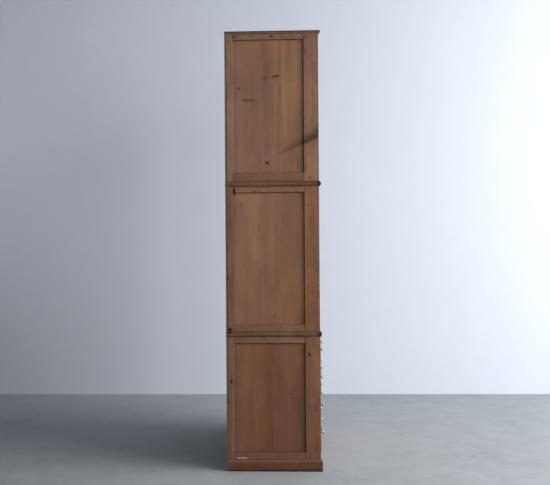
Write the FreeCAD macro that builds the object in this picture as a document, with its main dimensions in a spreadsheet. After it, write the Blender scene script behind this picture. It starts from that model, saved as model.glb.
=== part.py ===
import FreeCAD, Part
import os
import Sketcher

# A cabinet of three stacked tiers: framed sides, sliding glazed doors above, small drawers below.
# Millimetres. The front faces -Y, the framed sides face -X and +X, and +Z is up.

SIZES = {
    # the case
    "case_width": 900,
    "case_depth": 384,
    "plinth_height": 46,
    "lower_height": 508,
    "middle_height": 598,
    "upper_height": 612,
    "band_height": 26,
    "crown_height": 10,
    # framed sides
    "frame_thick": 24,
    "front_stile": 62,
    "back_stile": 29,
    "lower_top_rail": 25,
    "lower_bottom_rail": 32,
    "middle_top_rail": 22,
    "middle_bottom_rail": 25,
    "upper_top_rail": 24,
    "upper_bottom_rail": 33,
    "panel_thick": 8,
    "groove_depth": 10,
    "panel_slack": 1,
    "lower_panel_joint_share": 0.477,
    "panel_seam": 0.4,
    "groove_play": 0.2,
    "edge_ease": 1.5,
    # bands, crown and plinth
    "band_proud": 8,
    "band_fillet": 2,
    "crown_proud": 8,
    "crown_lip": 2,
    "crown_edge": 4,
    "crown_ease": 1,
    "plinth_proud": 8,
    "plinth_thick": 20,
    # backs, bottoms and shelves
    "back_thick": 6,
    "back_gap": 0.8,
    "back_lap": 6,
    "bottom_thick": 14,
    "shelf_thick": 15,
    "shelf_height_share": 0.5,
    "shelf_play": 0.3,
    "cleat_thick": 14,
    "cleat_height": 20,
    # sliding doors and their tracks
    "head_height": 26,
    "sill_height": 22,
    "door_inset": 8,
    "door_thick": 21,
    "door_gap": 4,
    "door_clear": 1.5,
    "slide_play": 0.5,
    "tongue_thick": 9,
    "head_groove": 11,
    "head_tongue": 9,
    "sill_groove": 4,
    "sill_lift": 0.3,
    "door_stile": 38,
    "door_top_rail": 38,
    "door_bottom_rail": 62,
    "door_lap": 38,
    "door_tenon_thick": 8,
    "door_tenon_length": 20,
    "door_tenon_shoulder": 10,
    "door_shoulder_play": 0.1,
    "glass_thick": 3,
    "glass_groove": 8,
    "glass_slack": 1,
    "pull_width": 14,
    "pull_side": 60,
    "pull_end_radius": 8,
    "pull_depth": 7,
    "door_stop_gap": 2,
    # drawers and what they run on
    "drawer_rail_thick": 15,
    "drawer_rail_depth": 42,
    "foot_rail_height": 30,
    "divider_thick": 15,
    "runner_width": 12,
    "drawer_proud": 3,
    "drawer_gap": 1,
    "drawer_lift": 0.3,
    "drawer_stop_gap": 0.5,
    "drawer_front_thick": 18,
    "drawer_front_ease": 1.2,
    "drawer_lap": 11,
    "drawer_wall": 9,
    "drawer_side_drop": 8,
    "drawer_bottom_thick": 5,
    "drawer_bottom_lift": 7,
    "drawer_bottom_entry": 4,
    # turned knobs
    "knob_length": 13,
    "knob_radius": 9,
    "knob_neck_radius": 4,
    "knob_neck_length": 4,
    "knob_cheek": 3,
    "knob_rose_radius": 7,
    "knob_rose_thick": 1.5,
    "knob_spigot_radius": 3,
    "knob_spigot_length": 12,
    "knob_spigot_play": 0.2,
    # how far a cutter runs past the wood
    "overrun": 1,
}
BACK_BOARDS = 5
DRAWER_COLUMNS = 3
DRAWER_ROWS = 4

doc = FreeCAD.newDocument("three_tier_cabinet")
sheet = doc.addObject("Spreadsheet::Sheet", "sizes")
for line, (alias, number) in enumerate(SIZES.items(), start=1):
    sheet.set(f"A{line}", alias)
    sheet.set(f"B{line}", str(number))
    sheet.setAlias(f"B{line}", alias)
doc.recompute()

nodes = []


class Size:
    """A length worked out from the sheet: the formula to bind, and what it comes to now."""

    def __init__(self, formula, value):
        self.formula = formula
        self.value = value

    @staticmethod
    def of(other):
        return other if isinstance(other, Size) else Size(str(other), other)

    def joined(self, sign, other, value):
        return Size(f"({self.formula} {sign} {other.formula})", value)

    def __add__(self, other):
        other = Size.of(other)
        return self.joined("+", other, self.value + other.value)

    def __sub__(self, other):
        other = Size.of(other)
        return self.joined("-", other, self.value - other.value)

    def __mul__(self, other):
        other = Size.of(other)
        return self.joined("*", other, self.value * other.value)

    def __truediv__(self, other):
        other = Size.of(other)
        return self.joined("/", other, self.value / other.value)

    def __radd__(self, other):
        return Size.of(other) + self

    def __rsub__(self, other):
        return Size.of(other) - self

    def __rmul__(self, other):
        return Size.of(other) * self

    def __neg__(self):
        return 0 - self


class Sheet:
    """Each named cell of the sheet as a Size."""

    def __getattr__(self, alias):
        return Size(f"sizes.{alias}", float(sheet.get(alias)))


size = Sheet()


def bind(thing, **formulas):
    """Sets each property of a document object from the sheet; a double underscore stands for a dot."""
    for name, length in formulas.items():
        thing.setExpression(name.replace("__", "."), Size.of(length).formula)


def place(thing, at):
    """Puts the thing's own zero point at a place in the cabinet."""
    x, y, z = at
    bind(thing, Placement__Base__x=x, Placement__Base__y=y, Placement__Base__z=z)


def outline(body, plane, corners):
    """A closed sketch through the corners, anticlockwise; a third value on a corner bows the side after it
    outwards to that radius."""
    sketch = body.newObject("Sketcher::SketchObject", "outline")
    sketch.AttachmentSupport = [(next(f for f in body.Origin.OriginFeatures if f.Role == plane), "")]
    sketch.MapMode = "FlatFace"
    corners = [[Size.of(value) for value in corner] for corner in corners]
    points = [FreeCAD.Vector(corner[0].value, corner[1].value, 0) for corner in corners]
    after = points[1:] + points[:1]
    for corner, start, end in zip(corners, points, after):
        if len(corner) == 2:
            sketch.addGeometry(Part.LineSegment(start, end), False)
            continue
        chord = end - start
        radius = corner[2].value
        rise = radius - (radius**2 - chord.Length**2 / 4) ** (1 / 2)
        outwards = FreeCAD.Vector(chord.y, -chord.x, 0).normalize()
        sketch.addGeometry(Part.Arc(start, (start + end) / 2 + outwards * rise, end), False)
    for side, corner in enumerate(corners):
        following = (side + 1) % len(corners)
        sketch.addConstraint(Sketcher.Constraint("Coincident", side, 2, following, 1))
        for kind, length in zip(("DistanceX", "DistanceY"), corner):
            index = sketch.addConstraint(Sketcher.Constraint(kind, -1, 1, side, 1, length.value))
            sketch.setExpression(f"Constraints[{index}]", length.formula)
        if len(corner) == 3:
            index = sketch.addConstraint(Sketcher.Constraint("Radius", side, corner[2].value))
            sketch.setExpression(f"Constraints[{index}]", corner[2].formula)
    return sketch


def bar(label, plane, corners, length, at, forwards=0):
    """A piece of one section: the outline on a plane, drawn out by a length. On the XZ plane the length runs
    back from the outline, and forwards adds some in front of it."""
    body = doc.addObject("PartDesign::Body", label)
    body.Label = label
    pad = body.newObject("PartDesign::Pad", "drawn_out")
    pad.Profile = outline(body, plane, corners)
    body.Tip = pad
    bind(pad, Length=length)
    if plane == "XZ_Plane":
        pad.Reversed = True
    if isinstance(forwards, Size):
        pad.SideType = "Two sides"
        bind(pad, Length2=forwards)
    place(body, at)
    return body


def board(label, extent, at):
    """A square-edged board as a body, so that cuts can follow."""
    body = doc.addObject("PartDesign::Body", label)
    body.Label = label
    add_block(body, extent, (0, 0, 0))
    place(body, at)
    return body


def add_block(body, extent, at):
    block = body.newObject("PartDesign::AdditiveBox", "block")
    bind(block, Length=extent[0], Width=extent[1], Height=extent[2])
    place(block, at)
    body.Tip = block


def cut_block(body, extent, at):
    block = body.newObject("PartDesign::SubtractiveBox", "cut")
    bind(block, Length=extent[0], Width=extent[1], Height=extent[2])
    place(block, at)
    body.Tip = block


def cut_outline(body, plane, corners, depth=None):
    """Cuts an outline into the body from a plane, to a depth or right through."""
    pocket = body.newObject("PartDesign::Pocket", "cut_out")
    pocket.Profile = outline(body, plane, corners)
    if depth is None:
        pocket.Type = "ThroughAll"
        pocket.SideType = "Symmetric"
    else:
        bind(pocket, Length=depth)
    body.Tip = pocket


def plain_board(extent, at):
    """A board that nothing is cut into."""
    box = doc.addObject("Part::Box", "board")
    bind(box, Length=extent[0], Width=extent[1], Height=extent[2])
    place(box, at)
    return box


def ease(body, amount, chosen):
    """Takes the sharpness off the edges that chosen() picks."""
    doc.recompute()
    before = body.Tip
    names = [f"Edge{i}" for i, edge in enumerate(before.Shape.Edges, start=1) if chosen(edge)]
    chamfer = body.newObject("PartDesign::Chamfer", "eased")
    chamfer.Base = (before, names)
    bind(chamfer, Size=amount)
    body.Tip = chamfer


def node(label, pieces):
    """One named sub-part out of one or more separate pieces."""
    group = doc.addObject("Part::Compound", label)
    group.Label = label
    group.Links = pieces
    nodes.append(group)
    return group


# Places shared by every tier. The box round the whole cabinet is centred on the origin.
half = size.case_width / 2
inner = half - size.frame_thick
front = (size.drawer_proud + size.knob_length - size.case_depth - size.back_thick) / 2
back = front + size.case_depth
rear = back + size.back_thick
track_depth = size.door_inset + 2 * size.door_thick + 2 * size.door_gap
SIDES = (-1, 1)


class Tier:
    """One of the three boxes: where it stands, how tall it is, and its side rails."""

    def __init__(self, name, base, height, top_rail, bottom_rail):
        self.name = name
        self.base = base
        self.height = height
        self.top = base + height
        self.top_rail = top_rail
        self.bottom_rail = bottom_rail


lower = Tier("lower", size.plinth_height, size.lower_height, size.lower_top_rail, size.lower_bottom_rail)
middle = Tier(
    "middle", lower.top + size.band_height, size.middle_height, size.middle_top_rail, size.middle_bottom_rail
)
upper = Tier("upper", middle.top + size.band_height, size.upper_height, size.upper_top_rail, size.upper_bottom_rail)


def frame_left(side):
    """Where a side frame's thickness starts along X."""
    return -half if side < 0 else inner


def grooved_section(width, groove_low):
    """A stile's or rail's section, thickness by width, with the panel's groove in one edge."""
    thick = size.frame_thick
    ease_by = size.edge_ease
    near = (thick - size.panel_thick) / 2 - size.groove_play
    far = thick - near
    deep = size.groove_depth
    groove = [(far, width), (far, width - deep), (near, width - deep), (near, width)]
    if groove_low:
        groove = [(near, 0), (near, deep), (far, deep), (far, 0)]
    low_edge = [(ease_by, 0), *(groove if groove_low else []), (thick - ease_by, 0)]
    high_edge = [(thick - ease_by, width), *([] if groove_low else groove), (ease_by, width)]
    return [
        *low_edge,
        (thick, ease_by),
        (thick, width - ease_by),
        *high_edge,
        (0, width - ease_by),
        (0, ease_by),
    ]


def side_rail(tier, side, height, at_top):
    """A rail between the stiles, with a stub tenon at each end that fills the stile's groove."""
    length = size.case_depth - size.front_stile - size.back_stile
    low = tier.top - height if at_top else tier.base
    at = (frame_left(side), front + size.front_stile, low)
    rail = bar("side_rail", "XZ_Plane", grooved_section(height, groove_low=at_top), length, at)
    tenon = (size.panel_thick, length + 2 * size.groove_depth, height - size.groove_depth)
    tenon_low = size.groove_depth if at_top else 0
    add_block(rail, tenon, ((size.frame_thick - size.panel_thick) / 2, -size.groove_depth, tenon_low))
    return rail


def side_panel(tier, side):
    """The panel in a frame's grooves: one wide board, or in the lower tier two with a hair seam between."""
    entry = size.groove_depth - size.panel_slack
    depth = size.case_depth - size.front_stile - size.back_stile + 2 * entry
    height = tier.height - tier.top_rail - tier.bottom_rail + 2 * entry
    x = frame_left(side) + (size.frame_thick - size.panel_thick) / 2
    y = front + size.front_stile - entry
    z = tier.base + tier.bottom_rail - entry
    if tier is not lower:
        return [plain_board((size.panel_thick, depth, height), (x, y, z))]
    joint = depth * size.lower_panel_joint_share
    first = plain_board((size.panel_thick, joint - size.panel_seam / 2, height), (x, y, z))
    rest = depth - joint - size.panel_seam / 2
    return [first, plain_board((size.panel_thick, rest, height), (x, y + joint + size.panel_seam / 2, z))]


def side_frames(tier):
    """Both framed sides of a tier: stiles the full height, rails between them, a panel in the grooves."""
    stiles = []
    rails = []
    panels = []
    for side in SIDES:
        left = frame_left(side)
        wide = grooved_section(size.front_stile, groove_low=False)
        narrow = grooved_section(size.back_stile, groove_low=True)
        stiles.append(bar("front_stile", "XY_Plane", wide, tier.height, (left, front, tier.base)))
        stiles.append(bar("back_stile", "XY_Plane", narrow, tier.height, (left, back - size.back_stile, tier.base)))
        rails.append(side_rail(tier, side, tier.top_rail, at_top=True))
        rails.append(side_rail(tier, side, tier.bottom_rail, at_top=False))
        panels += side_panel(tier, side)
    node(f"{tier.name}_stiles", stiles)
    node(f"{tier.name}_side_rails", rails)
    node(f"{tier.name}_side_panels", panels)


def back_boards(tier):
    """Upright boards nailed over the back of a tier. Each tucks half its thickness under the next one's edge,
    with a hair's gap between them."""
    pitch = size.case_width / BACK_BOARDS
    wide = pitch - size.back_gap
    thick = size.back_thick
    lap = size.back_lap
    boards = []
    for count in range(BACK_BOARDS):
        left = [(0, thick), (0, thick / 2), (lap, thick / 2), (lap, 0)]
        right = [(wide + lap, 0), (wide + lap, thick / 2), (wide, thick / 2), (wide, thick)]
        if count == 0:
            left = [(0, thick), (0, 0)]
        if count == BACK_BOARDS - 1:
            right = [(wide, 0), (wide, thick)]
        at = (pitch * count - half + size.back_gap / 2, back, tier.base)
        boards.append(bar("back_board", "XY_Plane", [*right, *left], tier.height, at))
    node(f"{tier.name}_back_boards", boards)


def bottom_board(tier, start, low):
    """The tier's floor, between the side frames and behind its front rail."""
    extent = (2 * inner, back - start, size.bottom_thick)
    node(f"{tier.name}_bottom_board", [plain_board(extent, (-inner, start, low))])


def mitre(side, reach_out, reach_in, for_front):
    """The triangle that a 45 degree mitre takes off a front return or a side strip, seen from above,
    measured from the case's corner."""
    out = reach_out + size.overrun
    into = reach_in + size.overrun
    spare = (side * out, into) if for_front else (-side * into, -out)
    corners = [(side * out, -out), (-side * into, into), spare]
    clockwise = (side > 0) == for_front
    return corners[::-1] if clockwise else corners


def returned_strips(section, reach_out, reach_in, end, low):
    """A strip along each side back to end, mitred at the front corner to a short return across the stile.
    section(side) gives the outline with outwards along side; the returns use the left one."""
    strips = []
    for side in SIDES:
        left = -half - reach_out if side < 0 else inner
        corner = reach_out if side < 0 else size.frame_thick
        turned = bar("strip_return", "YZ_Plane", section(-1), size.frame_thick + reach_out, (left, front, low))
        triangle = mitre(side, reach_out, reach_in, for_front=True)
        cut_outline(turned, "XY_Plane", [(x + corner, y) for x, y in triangle])
        strip = bar("side_strip", "XZ_Plane", section(side), end - front, (side * half, front, low), reach_out)
        cut_outline(strip, "XY_Plane", mitre(side, reach_out, reach_in, for_front=False))
        strips += [turned, strip]
    return strips


def half_round(side):
    """The nosing's section: a flat back on the board's edge and a bowed face, with a fillet of the edge
    left bare above and below it."""
    low = size.band_fillet
    high = size.band_height - size.band_fillet
    tall = high - low
    bow = (tall * tall / 4 + size.band_proud * size.band_proud) / (2 * size.band_proud)
    return [(0, low), (0, high, bow)] if side < 0 else [(0, high), (0, low, bow)]


def crown_section(side):
    """The crown strip's section: an eased edge above, rounded in below it to a narrow lip."""
    tall = size.crown_height
    out = size.crown_proud
    lip = size.crown_lip
    under = tall - size.crown_edge
    ease_by = size.crown_ease
    if side < 0:
        return [(-lip, 0), (0, 0), (0, tall), (ease_by - out, tall), (-out, tall - ease_by), (-out, under, under)]
    return [(0, 0), (lip, 0, under), (out, under), (out, tall - ease_by), (out - ease_by, tall), (0, tall)]


def plinth_section(side):
    """A plinth board's section: upright, with its outer top edge rounded back to the case."""
    tall = size.plinth_height
    out = size.plinth_proud
    into = size.plinth_thick - size.plinth_proud
    if side < 0:
        return [(-out, 0), (into, 0), (into, tall), (0, tall, out), (-out, tall - out)]
    return [(-into, 0), (out, 0), (out, tall - out, out), (0, tall), (-into, tall)]


def plinth():
    """Rounded side boards returned across the stiles, and plain boards between them at front and back."""
    into = size.plinth_thick - size.plinth_proud
    boards = returned_strips(plinth_section, size.plinth_proud, into, back, 0)
    boards.append(plain_board((2 * inner, into, size.plinth_height), (-inner, front, 0)))
    extent = (2 * (half - into), size.plinth_thick, size.plinth_height)
    boards.append(plain_board(extent, (into - half, back - size.plinth_thick, 0)))
    node("plinth", boards)


def band(tier):
    """The thick top of a tier that another stands on, and the half-round strips on its sides."""
    extent = (size.case_width, rear - front, size.band_height)
    node(f"{tier.name}_top_board", [plain_board(extent, (-half, front, tier.top))])
    node(f"{tier.name}_nosing", returned_strips(half_round, size.band_proud, 0, rear, tier.top))


def crown_top():
    """The thin board on the very top, and the strips on its sides."""
    top = plain_board((size.case_width, rear - front, size.crown_height), (-half, front, upper.top))
    node("crown_top", [top, *returned_strips(crown_section, size.crown_proud, 0, rear, upper.top)])


def track_section(tall, deep, from_low_edge):
    """A head's or sill's section, depth by height, with one groove for each door."""
    wide = size.tongue_thick + 2 * size.slide_play
    ease_by = size.edge_ease
    steps = []
    for count in range(2):
        start = size.door_inset + (size.door_thick - wide) / 2 + count * (size.door_thick + size.door_gap)
        if from_low_edge:
            steps += [(start, 0), (start, deep), (start + wide, deep), (start + wide, 0)]
        else:
            steps += [(start + wide, tall), (start + wide, tall - deep), (start, tall - deep), (start, tall)]
    if from_low_edge:
        return [(ease_by, 0), *steps, (track_depth, 0), (track_depth, tall), (0, tall), (0, ease_by)]
    later = steps[4:] + steps[:4]
    return [(0, 0), (track_depth, 0), (track_depth, tall), *later, (ease_by, tall), (0, tall - ease_by)]


def door_tracks(tier):
    """The grooved head above the doors and the grooved sill below them."""
    head = track_section(size.head_height, size.head_groove, from_low_edge=True)
    sill = track_section(size.sill_height, size.sill_groove, from_low_edge=False)
    pieces = [
        bar("head", "YZ_Plane", head, 2 * inner, (-inner, front, tier.top - size.head_height)),
        bar("sill", "YZ_Plane", sill, 2 * inner, (-inner, front, tier.base)),
    ]
    node(f"{tier.name}_door_tracks", pieces)


def door_body_height(tier):
    """Between the tongues: from just over the sill to just under the head."""
    return tier.height - size.head_height - size.sill_height - 2 * size.door_clear


def sill_tongue():
    """How far a door's lower tongue reaches down from its body."""
    return size.sill_groove + size.door_clear - size.sill_lift


def head_tongue():
    """How far a door's upper tongue reaches up from its body."""
    return size.head_tongue + size.door_clear


def door_stile(tier, at, glass_right, pull):
    """A door's upright: tongues at both ends, a groove for the glass, mortises, and perhaps a finger pull."""
    thick = size.door_thick
    low = -sill_tongue()
    body_top = door_body_height(tier)
    high = body_top + head_tongue()
    near = (thick - size.tongue_thick) / 2
    far = thick - near
    shape = [
        (near, low), (far, low), (far, 0), (thick, 0), (thick, body_top), (far, body_top),
        (far, high), (near, high), (near, body_top), (0, body_top), (0, 0), (near, 0),
    ]
    stile = bar("door_stile", "YZ_Plane", shape, size.door_stile, at)
    slot = size.glass_thick + 2 * size.groove_play
    deep = size.glass_groove
    edge = size.door_stile - deep if glass_right else 0
    run = body_top - size.door_top_rail - size.door_bottom_rail + 2 * deep
    cut_block(
        stile,
        (deep, slot, run),
        (edge, (thick - slot) / 2, size.door_bottom_rail - deep),
    )
    long = size.door_tenon_length
    edge = size.door_stile - long if glass_right else 0
    side_gap = size.groove_play
    for rail, foot in ((size.door_bottom_rail, 0), (size.door_top_rail, body_top - size.door_top_rail)):
        tall = rail - 2 * size.door_tenon_shoulder
        cut_block(
            stile,
            (long, size.door_tenon_thick + 2 * side_gap, tall + 2 * side_gap),
            (edge, (thick - size.door_tenon_thick) / 2 - side_gap, foot + size.door_tenon_shoulder - side_gap),
        )
    if pull:
        cut_pull(stile, body_top)
    return stile


def cut_pull(stile, body_top):
    """A carved finger pull with round ends, half way up the stile's face."""
    left = (size.door_stile - size.pull_width) / 2
    right = (size.door_stile + size.pull_width) / 2
    low = (body_top - size.pull_side) / 2
    high = (body_top + size.pull_side) / 2
    bow = size.pull_end_radius
    shape = [(right, low), (right, high, bow), (left, high), (left, low, bow)]
    cut_outline(stile, "XZ_Plane", shape, size.pull_depth)


def door_rail(label, tall, foot, tongue, at_top, length, at):
    """A door's rail: tongue on its outer edge, glass groove in its inner edge, a tenon at each end."""
    thick = size.door_thick
    near = (thick - size.tongue_thick) / 2
    far = thick - near
    slot = size.glass_thick + 2 * size.groove_play
    slot_near = (thick - slot) / 2
    slot_far = thick - slot_near
    deep = size.glass_groove
    if at_top:
        shape = [
            (0, 0), (slot_near, 0), (slot_near, deep), (slot_far, deep), (slot_far, 0), (thick, 0),
            (thick, tall), (far, tall), (far, tall + tongue), (near, tall + tongue), (near, tall), (0, tall),
        ]
    else:
        shape = [
            (near, -tongue), (far, -tongue), (far, 0), (thick, 0), (thick, tall), (slot_far, tall),
            (slot_far, tall - deep), (slot_near, tall - deep), (slot_near, tall), (0, tall), (0, 0), (near, 0),
        ]
    x, y, z = at
    rail = bar(label, "YZ_Plane", shape, length, (x, y, z + foot))
    end = size.door_tenon_length - size.groove_play
    tenon = (length + 2 * end, size.door_tenon_thick, tall - 2 * size.door_tenon_shoulder)
    add_block(rail, tenon, (-end, (thick - size.door_tenon_thick) / 2, size.door_tenon_shoulder))
    return rail


def door(tier, side):
    """One sliding door at rest: the left one in the rear grooves, the right one in the front grooves."""
    width = inner + size.door_lap / 2 - size.door_stop_gap / 2
    left = -inner + size.door_stop_gap / 2 if side < 0 else -size.door_lap / 2
    near = front + size.door_inset
    if side < 0:
        near = near + size.door_thick + size.door_gap
    low = tier.base + size.sill_height + size.door_clear
    body_top = door_body_height(tier)
    far_stile = left + width - size.door_stile
    opening = width - 2 * size.door_stile
    length = opening - 2 * size.door_shoulder_play
    rail_at = (left + size.door_stile + size.door_shoulder_play, near, low)
    top_foot = body_top - size.door_top_rail
    frame = [
        door_stile(tier, (left, near, low), glass_right=True, pull=side < 0),
        door_stile(tier, (far_stile, near, low), glass_right=False, pull=side > 0),
        door_rail("door_top_rail", size.door_top_rail, top_foot, head_tongue(), True, length, rail_at),
        door_rail("door_bottom_rail", size.door_bottom_rail, 0, sill_tongue(), False, length, rail_at),
    ]
    name = f"{tier.name}_{'left' if side < 0 else 'right'}_door"
    node(f"{name}_frame", frame)
    entry = size.glass_groove - size.glass_slack
    glass = (
        opening + 2 * entry,
        size.glass_thick,
        body_top - size.door_top_rail - size.door_bottom_rail + 2 * entry,
    )
    at = (
        left + size.door_stile - entry,
        near + (size.door_thick - size.glass_thick) / 2,
        low + size.door_bottom_rail - entry,
    )
    node(f"{name}_glass", [plain_board(glass, at)])


def shelves():
    """A loose shelf behind the doors of the two upper tiers, on a cleat at each side."""
    boards = []
    cleats = []
    start = front + track_depth + size.door_gap
    for tier in (middle, upper):
        low = tier.base + tier.height * size.shelf_height_share
        extent = (2 * (inner - size.shelf_play), back - start, size.shelf_thick)
        boards.append(plain_board(extent, (size.shelf_play - inner, start, low)))
        for side in SIDES:
            left = -inner if side < 0 else inner - size.cleat_thick
            extent = (size.cleat_thick, back - start, size.cleat_height)
            cleats.append(plain_board(extent, (left, start, low - size.cleat_height)))
    node("shelves", boards)
    node("shelf_cleats", cleats)


# The lower tier's grid of drawers.
grid_low = lower.base + size.foot_rail_height
grid_high = lower.top - size.drawer_rail_thick
cell_width = (2 * inner - (DRAWER_COLUMNS - 1) * size.divider_thick) / DRAWER_COLUMNS
cell_height = (grid_high - grid_low - (DRAWER_ROWS - 1) * size.drawer_rail_thick) / DRAWER_ROWS


def column_left(column):
    return column * (cell_width + size.divider_thick) - inner


def row_low(row):
    """Rows count from the bottom."""
    return grid_low + row * (cell_height + size.drawer_rail_thick)


def drawer_dividers():
    """Upright boards between the columns, notched at the top for the long rail."""
    dividers = []
    for column in range(1, DRAWER_COLUMNS):
        at = (column_left(column) - size.divider_thick, front, grid_low)
        divider = board("divider", (size.divider_thick, size.case_depth, lower.top - grid_low), at)
        notch = (size.divider_thick, size.drawer_rail_depth, size.drawer_rail_thick)
        cut_block(divider, notch, (0, 0, grid_high - grid_low))
        dividers.append(divider)
    node("drawer_dividers", dividers)


def drawer_rails():
    """Front rails: a deep one at the foot, a long one at the top, short ones between the rows."""
    deep = size.drawer_rail_depth
    rails = [
        plain_board((2 * inner, deep, size.foot_rail_height), (-inner, front, lower.base)),
        plain_board((2 * inner, deep, size.drawer_rail_thick), (-inner, front, grid_high)),
    ]
    for column in range(DRAWER_COLUMNS):
        for row in range(1, DRAWER_ROWS):
            at = (column_left(column), front, row_low(row) - size.drawer_rail_thick)
            rails.append(plain_board((cell_width, deep, size.drawer_rail_thick), at))
    node("drawer_rails", rails)


def drawer_runners():
    """Strips on both sides of each column, level with the short rails, that the drawers run on."""
    start = front + size.drawer_rail_depth
    extent = (size.runner_width, back - start, size.drawer_rail_thick)
    runners = []
    for column in range(DRAWER_COLUMNS):
        left = column_left(column)
        for row in range(1, DRAWER_ROWS):
            for x in (left, left + cell_width - size.runner_width):
                runners.append(plain_board(extent, (x, start, row_low(row) - size.drawer_rail_thick)))
    node("drawer_runners", runners)


def drawer_pieces():
    """The five boards of one drawer, with its lower left front corner at zero."""
    width = cell_width - 2 * size.drawer_gap
    tall = cell_height - size.drawer_lift - size.drawer_gap
    thick = size.drawer_front_thick
    wall = size.drawer_wall
    side_tall = tall - size.drawer_side_drop
    deep = size.drawer_proud + size.case_depth - size.drawer_stop_gap
    entry = size.drawer_bottom_entry
    floor = size.drawer_bottom_lift
    slot = size.drawer_bottom_thick + 2 * size.groove_play
    lap = size.drawer_lap

    face = board("drawer_front", (width, thick, tall), (0, 0, 0))
    ease(face, size.drawer_front_ease, lambda edge: edge.BoundBox.YMax < thick.value / 2)
    for x in (0, width - wall):
        cut_block(face, (wall, lap, tall), (x, thick - lap, 0))
    cut_block(face, (width, entry, slot), (0, thick - entry, floor - size.groove_play))
    hole = face.newObject("PartDesign::SubtractiveCylinder", "knob_hole")
    bind(hole, Radius=size.knob_spigot_radius + size.knob_spigot_play, Height=thick)
    hole.Placement.Rotation = FreeCAD.Rotation(FreeCAD.Vector(-1, 0, 0), 90)
    place(hole, (width / 2, 0, tall / 2))
    face.Tip = hole

    pieces = [face]
    for x, groove_x in ((0, wall - entry), (width - wall, 0)):
        side = board("drawer_side", (wall, deep - thick + lap, side_tall), (x, thick - lap, 0))
        groove = (entry, deep - thick + lap, slot)
        cut_block(side, groove, (groove_x, 0, floor - size.groove_play))
        pieces.append(side)

    above = floor + size.drawer_bottom_thick
    end = plain_board((width - 2 * wall, wall, side_tall - above), (wall, deep - wall, above))
    spread = entry - size.groove_play
    bottom = plain_board(
        (width - 2 * wall + 2 * spread, deep - thick + spread, size.drawer_bottom_thick),
        (wall - spread, thick - spread, floor),
    )
    return [*pieces, end, bottom]


def knob_piece():
    """A turned knob: spigot, rose, neck and a domed head, spun about its own axis."""
    body = doc.addObject("PartDesign::Body", "knob")
    start = size.knob_rose_thick
    head = start + size.knob_neck_length
    cheek = head + size.knob_cheek
    tip = size.knob_length
    sunk = -size.knob_spigot_length
    rise = tip - cheek
    dome = (size.knob_radius * size.knob_radius + rise * rise) / (2 * rise)
    turned = body.newObject("PartDesign::Revolution", "turned")
    sketch = outline(
        body,
        "XY_Plane",
        [
            (0, sunk),
            (size.knob_spigot_radius, sunk),
            (size.knob_spigot_radius, 0),
            (size.knob_rose_radius, 0),
            (size.knob_rose_radius, start),
            (size.knob_neck_radius, start),
            (size.knob_neck_radius, head),
            (size.knob_radius, cheek, dome),
            (0, tip),
        ],
    )
    turned.Profile = sketch
    turned.ReferenceAxis = (sketch, ["V_Axis"])
    body.Tip = turned
    body.Placement.Rotation = FreeCAD.Rotation(FreeCAD.Vector(1, 0, 0), 180)
    return body


def drawers():
    """The same drawer and knob in every cell of the grid."""
    pieces = drawer_pieces()
    knob = knob_piece()
    width = cell_width - 2 * size.drawer_gap
    tall = cell_height - size.drawer_lift - size.drawer_gap
    for column in range(DRAWER_COLUMNS):
        for row in range(DRAWER_ROWS):
            name = f"drawer_row{row + 1}_column{column + 1}"
            left = column_left(column) + size.drawer_gap
            low = row_low(row) + size.drawer_lift
            face = front - size.drawer_proud
            place(node(name, pieces), (left, face, low))
            place(node(f"{name}_knob", [knob]), (left + width / 2, face, low + tall / 2))


def write_parts():
    """Checks every object, then writes one STEP file for each sub-part."""
    doc.recompute()
    for thing in doc.Objects:
        if {"Invalid", "Error"} & set(thing.State):
            raise SystemExit(f"{thing.Label}: {thing.State}")
    os.makedirs("parts", exist_ok=True)
    for thing in nodes:
        if thing.Shape.isNull() or not thing.Shape.isValid():
            raise SystemExit(f"{thing.Label} has no sound shape")
        thing.Shape.exportStep(f"parts/{thing.Label}.step")


plinth()
for tier in (lower, middle, upper):
    side_frames(tier)
    back_boards(tier)
for tier in (lower, middle):
    band(tier)
crown_top()
bottom_board(lower, front + size.drawer_rail_depth, grid_low - size.bottom_thick)
for tier in (middle, upper):
    bottom_board(tier, front + track_depth, tier.base)
    door_tracks(tier)
    for side in SIDES:
        door(tier, side)
shelves()
drawer_dividers()
drawer_rails()
drawer_runners()
drawers()
write_parts()
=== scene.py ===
import math

import bpy
import numpy as np
from mathutils import Matrix, Vector


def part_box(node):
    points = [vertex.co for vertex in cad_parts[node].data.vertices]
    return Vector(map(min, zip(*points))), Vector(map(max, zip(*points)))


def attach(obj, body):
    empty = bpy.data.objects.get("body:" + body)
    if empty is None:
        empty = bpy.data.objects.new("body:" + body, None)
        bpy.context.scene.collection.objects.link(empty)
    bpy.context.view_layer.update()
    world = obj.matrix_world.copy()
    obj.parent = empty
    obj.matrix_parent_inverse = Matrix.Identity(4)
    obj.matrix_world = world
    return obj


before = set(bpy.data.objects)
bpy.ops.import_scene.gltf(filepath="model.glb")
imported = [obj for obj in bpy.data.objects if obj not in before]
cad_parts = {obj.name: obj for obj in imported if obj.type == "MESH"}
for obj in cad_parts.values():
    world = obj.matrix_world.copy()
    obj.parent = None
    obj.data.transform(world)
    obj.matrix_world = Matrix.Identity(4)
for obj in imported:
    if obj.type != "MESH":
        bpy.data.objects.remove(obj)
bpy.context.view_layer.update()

scene = bpy.context.scene
MM = 0.001
TIERS = ("lower", "middle", "upper")

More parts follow.
